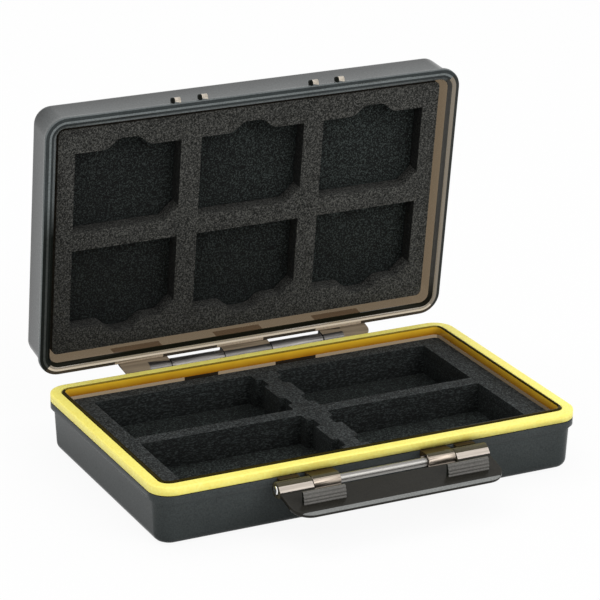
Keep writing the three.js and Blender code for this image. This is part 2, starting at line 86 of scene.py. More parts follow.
class Finish:
    def __init__(self, tree):
        self.tree = tree
        self.tree.nodes.clear()

    def port(self, sockets, key):
        if isinstance(key, int):
            return sockets[key]
        return next((s for s in sockets if s.identifier == key), None) or sockets[key]

    def node(self, kind, settings, feeds, output=0):
        made = self.tree.nodes.new("ShaderNode" + kind)
        for key, value in settings.items():
            if key == "stops":
                for place, shade in value[2:]:
                    made.color_ramp.elements.new(place)
                for element, (place, shade) in zip(made.color_ramp.elements, sorted(value)):
                    element.position = place
                    element.color = rgba(shade)
            else:
                setattr(made, key, value)
        for key, value in feeds.items():
            socket = self.port(made.inputs, key)
            if isinstance(value, Feed):
                self.tree.links.new(value.socket, socket)
            else:
                socket.default_value = value
        return Feed(self, self.port(made.outputs, output) if len(made.outputs) else None)

    def place(self, scale=unscaled):
        spot = self.node("TexCoord", {}, {}, "Object")
        if scale == unscaled:
            return spot
        return self.node("Mapping", {}, {"Vector": spot, "Scale": scale})

    def height(self):
        return self.node("SeparateXYZ", {}, {"Vector": self.place()}, "Z")

    # how far a point lies along a direction, as a share of a span
    def along(self, grade):
        feeds = {0: self.place(), 1: grade["direction"]}
        distance = self.node("VectorMath", {"operation": "DOT_PRODUCT"}, feeds, "Value")
        return (distance - grade["start"]) * (1 / grade["span"])

    def noise(self, spot, scale, detail=2.0, roughness=0.5):
        feeds = {"Vector": spot, "Scale": scale, "Detail": detail, "Roughness": roughness}
        return self.node("TexNoise", {}, feeds, "Fac")

    def blend(self, factor, first, second):
        feeds = {"Factor_Float": factor, "A_Color": first, "B_Color": second}
        return self.node("Mix", {"data_type": "RGBA"}, feeds, "Result_Color")

    def bump(self, height, strength, distance):
        feeds = {"Height": height, "Strength": strength, "Distance": distance}
        return self.node("Bump", {}, feeds)

    def stack(self, factor, first, second):
        feeds = {"Fac": factor, "Shader": first, "Shader_001": second}
        return self.node("MixShader", {}, feeds)

    def clear(self, tint):
        return self.node("BsdfTransparent", {}, {"Color": rgba(tint)})

    def solid(self, feeds):
        return self.node("BsdfPrincipled", {}, feeds)

    def farSide(self):
        return self.node("NewGeometry", {}, {}, "Backfacing")

    def show(self, surface):
        self.node("OutputMaterial", {}, {"Surface": surface})


def newFinish(name):
    material = bpy.data.materials.new(name)
    material.use_nodes = True
    return material, Finish(material.node_tree)


def rgba(colour, level=1.0):
    return (colour[0] * level, colour[1] * level, colour[2] * level, 1.0)


# one material for each named change to a look
def finishes(maker, look, tones):
    return {name: maker(name, look | tone) for name, tone in tones.items()}


smokeLook = {
    "body": (0.030, 0.035, 0.035),
    "farBody": None,
    "grade": {"direction": (0.0, 0.0, 1.0), "start": 0.0, "span": 0.013},
    "darkLevel": 0.7,
    "paleLevel": 1.3,
    "evenShare": 0.5,
    "bodySpread": 1.3,
    "through": (0.66, 0.60, 0.52),
    "tint": (0.30, 0.25, 0.19),
    "bodyShare": 0.10,
    "bend": 1.47,
    "mirror": 0.05,
    "gloss": 0.24,
    "glossSpread": 0.10,
    "glossGrain": 0.06,
    "cloudScale": 90.0,
    "cloudDetail": 3.0,
    "stretch": unscaled,
    "grainScale": 2200.0,
    "grainDetail": 3.0,
    "grainRoughness": 0.6,
    "grainStrength": 0.06,
    "grainDepth": 0.0001,
}


def smokeBody(finish, look):
    cloud = finish.noise(finish.place(), look["cloudScale"], look["cloudDetail"])
    spot = finish.place(look["stretch"])
    grain = finish.noise(spot, look["grainScale"], look["grainDetail"], look["grainRoughness"])
    normal = finish.bump(grain, look["grainStrength"], look["grainDepth"])
    gloss = look["gloss"] + look["glossSpread"] * cloud.swing() + look["glossGrain"] * grain.swing()
    shade = look["evenShare"] * (cloud + grain) + look["bodySpread"] * grain.swing()
    low, high = rgba(look["body"], look["darkLevel"]), rgba(look["body"], look["paleLevel"])
    # a look with a farBody blends its tone towards it along the grade; on the lid and its rim bands
    # this is painted light and shade
    if look["farBody"]:
        share = finish.along(look["grade"])
        low = finish.blend(share, low, rgba(look["farBody"], look["darkLevel"]))
        high = finish.blend(share, high, rgba(look["farBody"], look["paleLevel"]))
    feeds = {
        "Base Color": finish.blend(shade, low, high),
        "Roughness": gloss,
        "IOR": look["bend"],
        "Specular IOR Level": look["mirror"],
        "Normal": normal,
    }
    return finish.solid(feeds), gloss, normal


# thick smoke plastic: dark from outside, brown where light comes through it from behind
def smokeWall(name, look):
    material, finish = newFinish(name)
    solid = smokeBody(finish, look)[0]
    finish.show(finish.stack(finish.farSide(), solid, finish.clear(look["through"])))
    return material


# thin smoke plastic: tinted clear with a gloss that grows at a slant
def smokeClear(name, look):
    material, finish = newFinish(name)
    solid, gloss, normal = smokeBody(finish, look)
    inside = finish.stack(look["bodyShare"], finish.clear(look["tint"]), solid)
    feeds = {"Color": rgba(white), "Roughness": gloss, "Normal": normal}
    sheen = finish.node("BsdfGlossy", {}, feeds)
    slant = finish.node("Fresnel", {}, {"IOR": look["bend"], "Normal": normal})
    front = finish.stack(slant, inside, sheen)
    finish.show(finish.stack(finish.farSide(), front, finish.clear(white)))
    return material


# painted light and shade: how the tone runs up the open lid's left side, up its right side, and
# from its rim to its roof
upLeftShade = {"direction": (0.0, 0.0, 1.0), "start": 0.064, "span": 0.012}
upRightShade = {"direction": (0.0, 0.0, 1.0), "start": 0.024, "span": 0.008}
rimToRoofShade = {"direction": (0.0, 0.992, 0.127), "start": 0.0468, "span": 0.014}

wallTones = {
    "baseSmoke": {"farBody": (0.046, 0.052, 0.052)},
    # the lid's outside is painted lighter near its rim and darker towards its roof: painted
    # reflection and shade
    "lidSmoke": {
        "body": (0.115, 0.122, 0.122),
        "farBody": (0.022, 0.024, 0.024),
        "grade": rimToRoofShade,
        "mirror": 0.22,
    },
    "plateSmoke": {"body": (0.019, 0.018, 0.015), "mirror": 0.10},
    # light grey just behind the latch plate's free edge: a painted highlight
    "plateEdgeSmoke": {"body": (0.20, 0.205, 0.20)},
    "hookSmoke": {"body": (0.108, 0.104, 0.096), "mirror": 0.15},
    "lugSmoke": {"body": (0.040, 0.027, 0.011)},
    # dark olive on the flange's edge under the seal: a painted shadow in the gap, tinted by the
    # yellow seen through the plastic
    "seamSmoke": {"body": (0.018, 0.014, 0.005)},
    # near black on the rib tops: painted shade standing in for the dark lid they reflect
    "ribEdgeSmoke": {"body": (0.024, 0.018, 0.002), "mirror": 0.03},
    # tan on the lid's knuckles: painted light coming through them from behind
    "tanSmoke": {
        "body": (0.19, 0.15, 0.105),
        "stretch": (0.03, 1.0, 1.0),
        "grainScale": 1300.0,
        "bodySpread": 2.6,
    },
    # light tan on the rim's edge over the lid's knuckles: a painted highlight
    "knuckleTopSmoke": {"body": (0.40, 0.325, 0.25)},
    # dark brown on the upper faces of the latch barrels: painted shade
    "barrelTopSmoke": {"body": (0.062, 0.055, 0.034), "mirror": 0.1},
    # pale on the lid's beads: a painted highlight on the dark plastic
    "beadSmoke": {"body": (0.44, 0.39, 0.32), "mirror": 0.5},
    # near black on end faces of knuckles, hooks and beads: painted shade
    "blackSmoke": {"body": (0.008, 0.009, 0.007), "mirror": 0.02},
    # dark on the rim's outer edge along the lid's right side: painted shade
    "dimSmoke": {"body": (0.032, 0.034, 0.032), "mirror": 0.03},
    # brown on the rim's outer edge along the lid's bottom: painted light and shade
    "brownSmoke": {"body": (0.050, 0.040, 0.030), "mirror": 0.03},
    # dark amber on the rear rib's top: painted shade with the seal's yellow showing through
    "rearRibSmoke": {"body": (0.20, 0.135, 0.014), "mirror": 0.03},
}
# the lid rim's bands in lit and shaded copies that change by side and by height: painted light and
# shade, with a painted glint line
rimLook = smokeLook | {"mirror": 0.03, "grade": upLeftShade}
rimTones = {
    "edgeTone": {"body": (0.011, 0.013, 0.012), "farBody": (0.036, 0.042, 0.043)},
    "glintTone": {"body": (0.150, 0.165, 0.165), "farBody": (0.120, 0.132, 0.134)},
    "lipTone": {"body": (0.048, 0.052, 0.050), "farBody": (0.150, 0.166, 0.168)},
    "ridgeTone": {"body": (0.011, 0.013, 0.012), "farBody": (0.034, 0.039, 0.040)},
    "stepTone": {"body": (0.007, 0.009, 0.008), "farBody": (0.135, 0.148, 0.150)},
    "innerTone": {
        "body": (0.010, 0.010, 0.006),
        "farBody": (0.090, 0.088, 0.082),
        "grade": upRightShade,
    },
}
clearTones = {
    "recessSmoke": {},
    # bright tint on the rim's lip along the lid's bottom: a painted highlight
    "lipSmoke": {"tint": (0.92, 0.87, 0.80)},
    # darker tint on the rim's ridge along the lid's bottom: painted shade
    "ridgeSmoke": {"tint": (0.43, 0.40, 0.355)},
    # near-opaque dark tint on the base's inner wall where the hinge knuckles stand behind it:
    # painted shade
    "archSmoke": {"tint": (0.020, 0.014, 0.008), "bodyShare": 0.04},
    # darker tint on the rim's lip and ridge along the lid's right side: painted shade
    "sideLipSmoke": {"tint": (0.33, 0.305, 0.265)},
    # dark tint low on the lid's inner wall where its knuckles stand behind it: painted shade
    "rootSmoke": {"tint": (0.15, 0.105, 0.068)},
    "baseInsideSmoke": {"tint": (0.46, 0.38, 0.28)},
    "baseSideSmoke": {"tint": (0.20, 0.16, 0.11)},
}
smoke = finishes(smokeWall, smokeLook, wallTones)
smoke |= finishes(smokeWall, rimLook, rimTones)
smoke |= finishes(smokeClear, smokeLook, clearTones)
print("smoke plastic ready")


# inside of the rib, where the yellow seal shines through the brown plastic: painted light, an
# opaque amber that brightens towards the rib's top
amberLook = {
    "low": (0.34, 0.130, 0.003),
    "high": (0.82, 0.51, 0.030),
    "foot": 0.0154,
    "rise": 0.0027,
    "cloudScale": 140.0,
    "cloudDetail": 3.0,
    "cloudSpread": 0.35,
    "gloss": 0.22,
    "glossSpread": 0.1,
    "bend": 1.47,
}


def amberRib(name, look):
    material, finish = newFinish(name)
    cloud = finish.noise(finish.place(), look["cloudScale"], look["cloudDetail"])
    rise = (finish.height() - look["foot"]) * (1 / look["rise"])
    share = rise + look["cloudSpread"] * cloud.swing()
    feeds = {
        "Base Color": finish.blend(share, rgba(look["low"]), rgba(look["high"])),
        "Roughness": look["gloss"] + look["glossSpread"] * cloud.swing(),
        "IOR": look["bend"],
    }
    finish.show(finish.solid(feeds))
    return material


amberRibPlastic = amberRib("amberRibPlastic", amberLook)


# soft yellow seal, slightly mottled and satin
sealLook = {
    "low": (0.95, 0.80, 0.15),
    "high": (1.0, 0.93, 0.24),
    "cloudScale": 160.0,
    "cloudDetail": 3.0,
    "fleckScale": 1400.0,
    "fleckSpread": 1.8,
    "grainScale": 4200.0,
    "grainStrength": 0.06,
    "grainDepth": 0.00008,
    "gloss": 0.48,
    "glossSpread": 0.12,
    "bend": 1.45,
}


def sealRubber(name, look):
    material, finish = newFinish(name)
    spot = finish.place()
    cloud = finish.noise(spot, look["cloudScale"], look["cloudDetail"])
    grain = finish.noise(spot, look["grainScale"])
    fleck = finish.noise(spot, look["fleckScale"])
    shade = cloud + look["fleckSpread"] * fleck.swing()
    feeds = {
        "Base Color": finish.blend(shade, rgba(look["low"]), rgba(look["high"])),
        "Roughness": look["gloss"] + look["glossSpread"] * cloud.swing(),
        "Normal": finish.bump(grain, look["grainStrength"], look["grainDepth"]),
        "IOR": look["bend"],
    }
    finish.show(finish.solid(feeds))
    return material


yellowSeal = sealRubber("yellowSeal", sealLook)


# drawn steel with fine lines along the pin
steelLook = {
    "colour": (0.27, 0.262, 0.248),
    "lineScale": (60.0, 2600.0, 2600.0),
    "lineNoise": 1.0,
    "lineDetail": 3.0,
    "lineRoughness": 0.6,
    "lineSpread": 0.25,
    "lineStrength": 0.12,
    "lineDepth": 0.00005,
    "cloudScale": 300.0,
    "gloss": 0.38,
    "glossSpread": 0.12,
}


def pinSteel(name, look):
    material, finish = newFinish(name)
    spot = finish.place(look["lineScale"])
    lines = finish.noise(spot, look["lineNoise"], look["lineDetail"], look["lineRoughness"])
    cloud = finish.noise(finish.place(), look["cloudScale"])
    low = rgba(look["colour"], 1 - look["lineSpread"])
    high = rgba(look["colour"], 1 + look["lineSpread"])
    spread = look["glossSpread"]
    feeds = {
        "Base Color": finish.blend(lines, low, high),
        "Metallic": 1.0,
        "Roughness": look["gloss"] + spread * lines.swing() + spread * cloud.swing(),
        "Normal": finish.bump(lines, look["lineStrength"], look["lineDepth"]),
    }
    finish.show(finish.solid(feeds))
    return material


streaks = {"lineScale": (90.0, 1900.0, 1900.0), "lineSpread": 1.0, "gloss": 0.38}
steelTones = {
    "drawnSteel": {},
    "seenSteel": {"colour": (0.34, 0.29, 0.24), "gloss": 0.34},
    # near white on the latch pin's ends: a painted highlight
    "brightSteel": {"colour": (0.90, 0.89, 0.87), "gloss": 0.20},
    # light on the latch's knee faces: a painted highlight
    "kneeSteel": {"colour": (0.32, 0.285, 0.25), "gloss": 0.34, "lineSpread": 0.6},
    "hingeSteel": streaks | {"colour": (0.15, 0.142, 0.135)},
    "dimSteel": streaks | {"colour": (0.10, 0.095, 0.09)},
}
steel = finishes(pinSteel, steelLook, steelTones)


# cut foam: charcoal with pale and dark flecks the size of its cells
foamLook = {
    "dark": (0.0045, 0.005, 0.0042),
    "middle": (0.0270, 0.0275, 0.0252),
    "pale": (0.090, 0.090, 0.083),
    "stretch": unscaled,
    "grade": None,
    "cellScale": 3000.0,
    "cellDetail": 2.0,
    "cellRoughness": 0.65,
    "cellSpread": 2.7,
    "cellStrength": 0.6,
    "cellDepth": 0.0003,
    "fleckScale": 1900.0,
    "fleckDetail": 1.0,
    "fleckSpread": 2.1,
    "fleckRise": 0.6,
    "cloudScale": 60.0,
    "cloudSpread": 0.2,
    "cutLevel": 0.0,
    "cutHalf": 0.00014,
    "cutWander": 0.0004,
    "cutShare": 0.7,
    "gloss": 0.88,
    "glossSpread": 0.12,
    "mirror": 0.25,
}


def cellFoam(name, look):
    material, finish = newFinish(name)
    spot = finish.place(look["stretch"])
    cells = finish.noise(spot, look["cellScale"], look["cellDetail"], look["cellRoughness"])
    flecks = finish.noise(spot, look["fleckScale"], look["fleckDetail"])
    cloud = finish.noise(spot, look["cloudScale"])
    mottle = noiseMiddle + look["fleckSpread"] * flecks.swing()
    mottle = mottle + look["cellSpread"] * cells.swing() + look["cloudSpread"] * cloud.swing()
    stops = [(0.0, look["dark"]), (1.0, look["pale"]), (noiseMiddle, look["middle"])]
    colour = finish.node("ValToRGB", {"stops": stops}, {"Fac": mottle}, "Color")
    if look["cutLevel"]:
        wander = look["cutWander"] * flecks.swing()
        cut = abs(finish.height() - look["cutLevel"] + wander) < look["cutHalf"]
        colour = finish.blend(cut * look["cutShare"], colour, rgba(look["dark"]))
    # painted shade: darker along the grade
    if look["grade"]:
        shade = look["grade"]["dim"] * (1 - finish.along(look["grade"]))
        colour = finish.blend(shade, colour, rgba(black))
    relief = cells + look["fleckRise"] * flecks
    feeds = {
        "Base Color": colour,
        "Roughness": look["gloss"] + look["glossSpread"] * cells.swing(),
        "Specular IOR Level": look["mirror"],
        "Normal": finish.bump(relief, look["cellStrength"], look["cellDepth"]),
    }
    finish.show(finish.solid(feeds))
    return material


# painted shade: the lid's foam dims a little towards its lower left corner
lidFoamShade = {"direction": (0.5, 0.0, 0.87), "start": -0.010, "span": 0.060, "dim": 0.44}
lidPocketShade = {"direction": (0.8, 0.0, 0.6), "start": -0.010, "span": 0.090, "dim": 0.46}
pocketTone = {
    "dark": (0.0004, 0.0008, 0.0007),
    "middle": (0.0032, 0.0052, 0.0047),
    "pale": (0.039, 0.049, 0.046),
}
foamTones = {
    "lidFaceFoam": {"grade": lidFoamShade},
    "lidPocketFoam": pocketTone | {"grade": lidPocketShade},
    "pocketFoam": pocketTone | {"middle": (0.0026, 0.0042, 0.0037)},
    # darker foam on the card pockets' walls that face -x and along the foam's edge by the lid wall:
    # painted shade
    "pocketSideFoam": {
        "dark": (0.001, 0.001, 0.001),
        "middle": (0.005, 0.0055, 0.005),
        "pale": (0.024, 0.025, 0.023),
    },
    "baseBlockFoam": {
        "dark": (0.002, 0.003, 0.003),
        "middle": (0.0165, 0.0190, 0.0188),
        "pale": (0.066, 0.073, 0.073),
    },
    "cellWallFoam": {
        "dark": (0.001, 0.0015, 0.0015),
        "middle": (0.0046, 0.0062, 0.0060),
        "pale": (0.034, 0.041, 0.040),
        "cellScale": 3400.0,
        "cellSpread": 2.4,
        "fleckSpread": 1.2,
        "stretch": (0.40, 1.0, 1.0),
        "cutLevel": 0.0119,
    },
}
foam = finishes(cellFoam, foamLook, foamTones)
print("seal, steel and foam ready")


# measures that the tubs and the latch share
shell = {
    "weld": 0.000002,
    "sharpAngle": 32,
    "faceWeight": 90,
    "halfWidth": 0.0666,
    "halfDepth": 0.04105,
    "cornerRadius": 0.0064,
    "wallSlack": 0.0002,
    "hair": 0.00003,
    "endSlope": 0.9,
    "hingeAxis": (0.0437, 0.01663),
    "hingeReach": 0.00245,
    "latchAxis": (-0.04472, 0.01318),
    "latchReach": 0.00233,
}


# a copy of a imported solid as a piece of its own, welded so that it can be shaped and shaded
def weldedCopy(name, nodeName):
    piece = bpy.data.objects.new(name, nodes[nodeName].data.copy())
    bpy.context.scene.collection.objects.link(piece)
    piece.data.materials.clear()
    bpy.ops.object.select_all(action="DESELECT")
    piece.select_set(True)
    bpy.context.view_layer.objects.active = piece
    bpy.ops.object.mode_set(mode="EDIT")
    bpy.ops.mesh.select_all(action="SELECT")
    bpy.ops.mesh.remove_doubles(threshold=shell["weld"])
    bpy.ops.object.mode_set(mode="OBJECT")
    return piece


def addModifier(piece, kind, settings):
    made = piece.modifiers.new(kind.title(), kind)
    for key, value in settings.items():
        setattr(made, key, value)
    bpy.ops.object.modifier_apply(modifier=made.name)


def settle(piece, nodeName, body):
    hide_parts(nodeName)
    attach(piece, body)
    print(piece.name, len(piece.data.polygons), "faces, rides on", body)


# moulded and metal pieces
def mouldedPiece(name, nodeName, body, material, sharpAngle, shaping=None):
    piece = weldedCopy(name, nodeName)
    if shaping:
        shaping(piece)
    piece.data.materials.append(material)
    bpy.ops.object.shade_smooth_by_angle(angle=math.radians(sharpAngle))
    addModifier(piece, "WEIGHTED_NORMAL", {"keep_sharp": True, "weight": shell["faceWeight"]})
    settle(piece, nodeName, body)
    return piece


# an edge loop where a flat plane cuts a piece
def cutLoop(spot, normal):
    bpy.ops.object.mode_set(mode="EDIT")
    bpy.ops.mesh.select_all(action="SELECT")
    bpy.ops.mesh.bisect(plane_co=spot, plane_no=normal)
    bpy.ops.object.mode_set(mode="OBJECT")


# edge loops across a piece at several places along its width
def cutAcross(places):
    for place in places:
        cutLoop((place, 0, 0), (1, 0, 0))


# goes into edit mode with only the chosen faces selected
def selectFaces(piece, chosen):
    bpy.ops.object.mode_set(mode="EDIT")
    bpy.ops.mesh.select_mode(type="FACE")
    bpy.ops.mesh.select_all(action="DESELECT")
    bpy.ops.object.mode_set(mode="OBJECT")
    for face in piece.data.polygons:
        face.select = chosen(face.center, face.normal)
    bpy.ops.object.mode_set(mode="EDIT")


def paintFaces(piece, material, chosen):
    piece.data.materials.append(material)
    number = len(piece.data.materials) - 1
    for face in piece.data.polygons:
        if chosen(face.center, face.normal):
            face.material_index = number


# later choices paint over earlier ones
def paintInTurn(piece, choices):
    for material, chosen in choices:
        paintFaces(piece, material, chosen)


# how far a point lies in from the rim's edge
def inward(spot):
    radius = shell["cornerRadius"]
    beside = shell["halfWidth"] - abs(spot.x)
    before = shell["halfDepth"] - abs(spot.y)
    if beside < radius and before < radius:
        return radius - math.hypot(radius - beside, radius - before)
    return min(beside, before)


def fromAxis(spot, axis):
    return math.hypot(spot.y - axis[0], spot.z - axis[1])


def within(place, spans):
    return any(low < place < high for low, high in spans)


def spanEnds(spans):
    return [place for span in spans for place in span]


def knuckleEnd(spot, normal):
    nearBarrel = fromAxis(spot, shell["hingeAxis"]) < 2 * shell["hingeReach"]
    return nearBarrel and abs(normal.x) > shell["endSlope"]


# the lid's faces, named as they lie when it is shut
lidForm = {
    "openAngle": 82.7,
    "wallInset": 0.0036,
    "rimLevel": 0.01798,
    "rimSlack": 0.0001,
    "rimRound": 0.0005,
    "rimFaceInset": 0.0004,
    "rimFaceSlope": -0.99,
    "edgeSlope": -0.05,
    "glintSlope": -0.75,
    "lipEdge": 0.0007,
    "ridgeInset": 0.00255,
    "stepDepth": 0.0010,
    "uprightSlope": 0.5,
    "sliver": 0.00002,
    "hingePinEnd": 0.0323,
    "rootLift": 0.0040,
    "rootSpans": ((-0.0425, -0.0269), (-0.0092, 0.0062), (0.0239, 0.0395)),
    "beadAxis": (-0.04155, 0.01948),
    "beadReach": 0.00095,
    "beadSpans": ((0.0164, 0.0192), (0.0249, 0.0277)),
    "beadShade": (
        (-0.0277, -0.0268), (-0.0192, -0.0183), (0.0164, 0.0173), (0.0249, 0.0258)),
    "beadEndSlope": -0.5,
}
turnShut = Matrix.Rotation(math.radians(lidForm["openAngle"]), 3, "X")
hingeLine = Vector((0, *shell["hingeAxis"]))


def shutSpot(spot):
    return hingeLine + turnShut @ (spot - hingeLine)


def aboveRim(spot):
    return shutSpot(spot).z - lidForm["rimLevel"]


def onRimFace(spot, normal):
    flat = (turnShut @ normal).z < lidForm["rimFaceSlope"]
    inside = inward(shutSpot(spot)) > lidForm["rimFaceInset"]
    return flat and inside and aboveRim(spot) < lidForm["rimSlack"]


# side of the open lid that a face lies along
def rimSide(spot):
    shut = shutSpot(spot)
    if shell["halfWidth"] - abs(shut.x) < shell["halfDepth"] - abs(shut.y):
        return "right" if shut.x > 0 else "left"
    return "bottom" if shut.y > 0 else "top"


# band of the lid's rim that a face lies in, from its outer edge to the step inside
def rimBand(spot, normal):
    inset = inward(shutSpot(spot))
    lift = aboveRim(spot)
    facing = (turnShut @ normal).z
    rounding = lidForm["rimRound"]
    downward = lift < rounding and facing < lidForm["edgeSlope"]
    if downward and -rounding < inset < rounding + lidForm["lipEdge"]:
        return "glint" if inset < rounding and facing > lidForm["glintSlope"] else "edge"
    if onRimFace(spot, normal):
        return "lip" if inset < lidForm["ridgeInset"] - lidForm["lipEdge"] else "ridge"
    stepStart = lidForm["ridgeInset"] - lidForm["rimSlack"]
    stepEnd = lidForm["wallInset"] - lidForm["rimSlack"]
    if stepStart < inset < stepEnd and lift < lidForm["stepDepth"] + shell["wallSlack"]:
        return "step"
    return "none"


def inRecess(spot, normal):
    upright = abs((turnShut @ normal).z) < lidForm["uprightSlope"]
    onWall = abs(inward(shutSpot(spot)) - lidForm["wallInset"]) < shell["wallSlack"]
    return upright and onWall and aboveRim(spot) > lidForm["stepDepth"]


def byKnuckleRoot(spot, normal):
    low = rimSide(spot) == "bottom" and aboveRim(spot) < lidForm["rootLift"]
    return low and inRecess(spot, normal) and within(spot.x, lidForm["rootSpans"])


def overKnuckle(spot, normal):
    onEdge = rimBand(spot, normal) in ("edge", "glint") and rimSide(spot) == "bottom"
    return onEdge and inward(shutSpot(spot)) > 0 and within(spot.x, lidForm["rootSpans"])


def onLidKnuckle(spot, normal):
    return shutSpot(spot).y > shell["halfDepth"] + shell["hair"]


def roundHingePin(spot, normal):
    nearPin = fromAxis(spot, shell["hingeAxis"]) < shell["hingeReach"]
    return nearPin and abs(spot.x) < lidForm["hingePinEnd"]


def onBead(spot, normal):
    beside = within(abs(spot.x), lidForm["beadSpans"])
    return beside and fromAxis(shutSpot(spot), lidForm["beadAxis"]) < lidForm["beadReach"]


def beadEnd(spot, normal):
    shaded = normal.x < lidForm["beadEndSlope"] or within(spot.x, lidForm["beadShade"])
    return shaded and onBead(spot, normal)


# loops where the tones change, then slivers cleared and a thin lip let into the rim's face
def shapeLid(piece):
    cutAcross((-lidForm["hingePinEnd"], lidForm["hingePinEnd"]))
    cutAcross(spanEnds(lidForm["rootSpans"]))
    cutAcross([end for start, end in lidForm["beadShade"]])
    rootLevel = Vector((0, 0, lidForm["rimLevel"] + lidForm["rootLift"])) - hingeLine
    turnOpen = turnShut.transposed()
    cutLoop(hingeLine + turnOpen @ rootLevel, turnOpen @ Vector((0, 0, 1)))
    selectFaces(piece, onRimFace)
    bpy.ops.mesh.dissolve_degenerate(threshold=lidForm["sliver"])
    bpy.ops.object.mode_set(mode="OBJECT")
    selectFaces(piece, onRimFace)
    bpy.ops.mesh.inset(thickness=lidForm["lipEdge"])
    bpy.ops.object.mode_set(mode="OBJECT")


lidTub = mouldedPiece(
    "lid_tub", "lid_shell", "lid",
    smoke["lidSmoke"], shell["sharpAngle"], shapeLid)
# each band of the lid's rim is painted in a tone for its side of the open lid: painted light, shade
# and glint
rimPlaces = {
    "glintTone": {("glint", "left"), ("glint", "top")},
    "edgeTone": {("edge", "left"), ("edge", "top")},
    "lipTone": {("lip", "left"), ("lip", "top")},
    "ridgeTone": {("ridge", "left"), ("ridge", "top")},
    "stepTone": {("step", "left"), ("step", "top")},
    "dimSmoke": {("edge", "right"), ("glint", "right")},
    "brownSmoke": {("edge", "bottom"), ("glint", "bottom")},
    "innerTone": {("step", "right"), ("step", "bottom")},
    "lipSmoke": {("lip", "bottom")},
    "ridgeSmoke": {("ridge", "bottom")},
    "sideLipSmoke": {("lip", "right"), ("ridge", "right")},
}
for tone, places in rimPlaces.items():
    paintFaces(
        lidTub, smoke[tone],
        lambda spot, normal: (rimBand(spot, normal), rimSide(spot)) in places)
# paints the lid's clear inner wall, then painted shade at the knuckle roots, painted light through
# the knuckles, a painted highlight over them, painted shade on knuckle and bead ends and a painted
# highlight on the beads
paintInTurn(lidTub, (
    (smoke["recessSmoke"], inRecess),
    (smoke["rootSmoke"], byKnuckleRoot),
    (smoke["tanSmoke"], onLidKnuckle),
    (smoke["knuckleTopSmoke"], overKnuckle),
    (steel["dimSteel"], roundHingePin),
    (smoke["blackSmoke"], knuckleEnd),
    (smoke["beadSmoke"], onBead),
    (smoke["blackSmoke"], beadEnd),
))


# the base's faces
baseForm = {
    "wallInset": 0.0044,
    "wallSlope": 0.3,
    "sideSlope": 0.7,
    "seatLevel": 0.0154,
    "seatSlack": 0.0001,
    "seamHalf": 0.0003,
    "seamInset": 0.0004,
    "archSpans": ((-0.0235, -0.0125), (0.0065, 0.0200)),
    "barrelTopSlope": 0.88,
}


def onRibTop(spot, normal):
    raised = spot.z > baseForm["seatLevel"] + baseForm["seatSlack"]
    return raised and abs(spot.y) < shell["halfDepth"]


def onRearRibTop(spot, normal):
    toRear = shell["halfDepth"] - spot.y < shell["halfWidth"] - abs(spot.x)
    return toRear and onRibTop(spot, normal)


# the flange's edge just under the seal, painted as the shadow in the gap
def onSeam(spot, normal):
    atSeat = abs(spot.z - baseForm["seatLevel"]) < baseForm["seamHalf"]
    return atSeat and inward(spot) < baseForm["seamInset"]


def inBaseWall(spot, normal):
    onWall = abs(inward(spot) - baseForm["wallInset"]) < shell["wallSlack"]
    return onWall and abs(normal.z) < baseForm["wallSlope"]


def onRibInside(spot, normal):
    return inBaseWall(spot, normal) and spot.z > baseForm["seatLevel"]


def byBaseKnuckle(spot, normal):
    return inBaseWall(spot, normal) and spot.y > 0 and within(spot.x, baseForm["archSpans"])


def inBaseSide(spot, normal):
    return inBaseWall(spot, normal) and abs(normal.x) > baseForm["sideSlope"]


def onHingeKnuckle(spot, normal):
    return spot.y > shell["halfDepth"] + shell["hair"]


def onLatchArm(spot, normal):
    return spot.y < -shell["halfDepth"] - shell["hair"]


def onLatchBarrel(spot, normal):
    return fromAxis(spot, shell["latchAxis"]) < shell["latchReach"]


# the upward faces of the base's latch barrels, painted as shade
def onBarrelTop(spot, normal):
    return onLatchBarrel(spot, normal) and normal.z > baseForm["barrelTopSlope"]


def shapeBase(piece):
    cutLoop((0, 0, baseForm["seatLevel"]), (0, 0, 1))
    cutAcross(spanEnds(baseForm["archSpans"]))


baseTub = mouldedPiece(
    "base_tub", "base_shell", "base",
    smoke["baseSmoke"], shell["sharpAngle"], shapeBase)
# paints the base: a painted shadow at the seam, painted shade on the rib tops, the seal's yellow
# painted on the rear rib top and inner rib, painted shade behind the hinge knuckles and on the
# latch barrels' tops
paintInTurn(baseTub, (
    (smoke["seamSmoke"], onSeam),
    (smoke["ribEdgeSmoke"], onRibTop),
    (smoke["rearRibSmoke"], onRearRibTop),
    (smoke["baseInsideSmoke"], inBaseWall),
    (smoke["baseSideSmoke"], inBaseSide),
    (smoke["archSmoke"], byBaseKnuckle),
    (amberRibPlastic, onRibInside),
    (steel["hingeSteel"], onHingeKnuckle),
    (smoke["blackSmoke"], knuckleEnd),
    (smoke["lugSmoke"], onLatchArm),
    (steel["seenSteel"], onLatchBarrel),
    (smoke["barrelTopSmoke"], onBarrelTop),
))


# the latch's faces, named as they lie with the plate turned level
latchForm = {
    "droop": 12,
    "knuckleFront": 0.0028,
    "hookAhead": 0.0065,
    "hookLift": 0.00005,
    "plateReach": 0.0141,
    "plateFace": 0.0005,
    "plateEdge": 0.00035,
    "plateShine": 0.0009,
    "edgeSlope": 0.2,
}
levelLatch = Matrix.Rotation(math.radians(-latchForm["droop"]), 3, "X")
latchLine = Vector((0, *shell["latchAxis"]))
shineStart = latchForm["plateReach"] - latchForm["plateEdge"] - latchForm["plateShine"]


def levelSpot(spot):
    return levelLatch @ (spot - latchLine)


def onHook(spot, normal):
    level = levelSpot(spot)
    raised = level.z > latchForm["plateFace"] + latchForm["hookLift"]
    return raised and level.y < -latchForm["hookAhead"]


def hookEnd(spot, normal):
    return onHook(spot, normal) and normal.x < -shell["endSlope"]


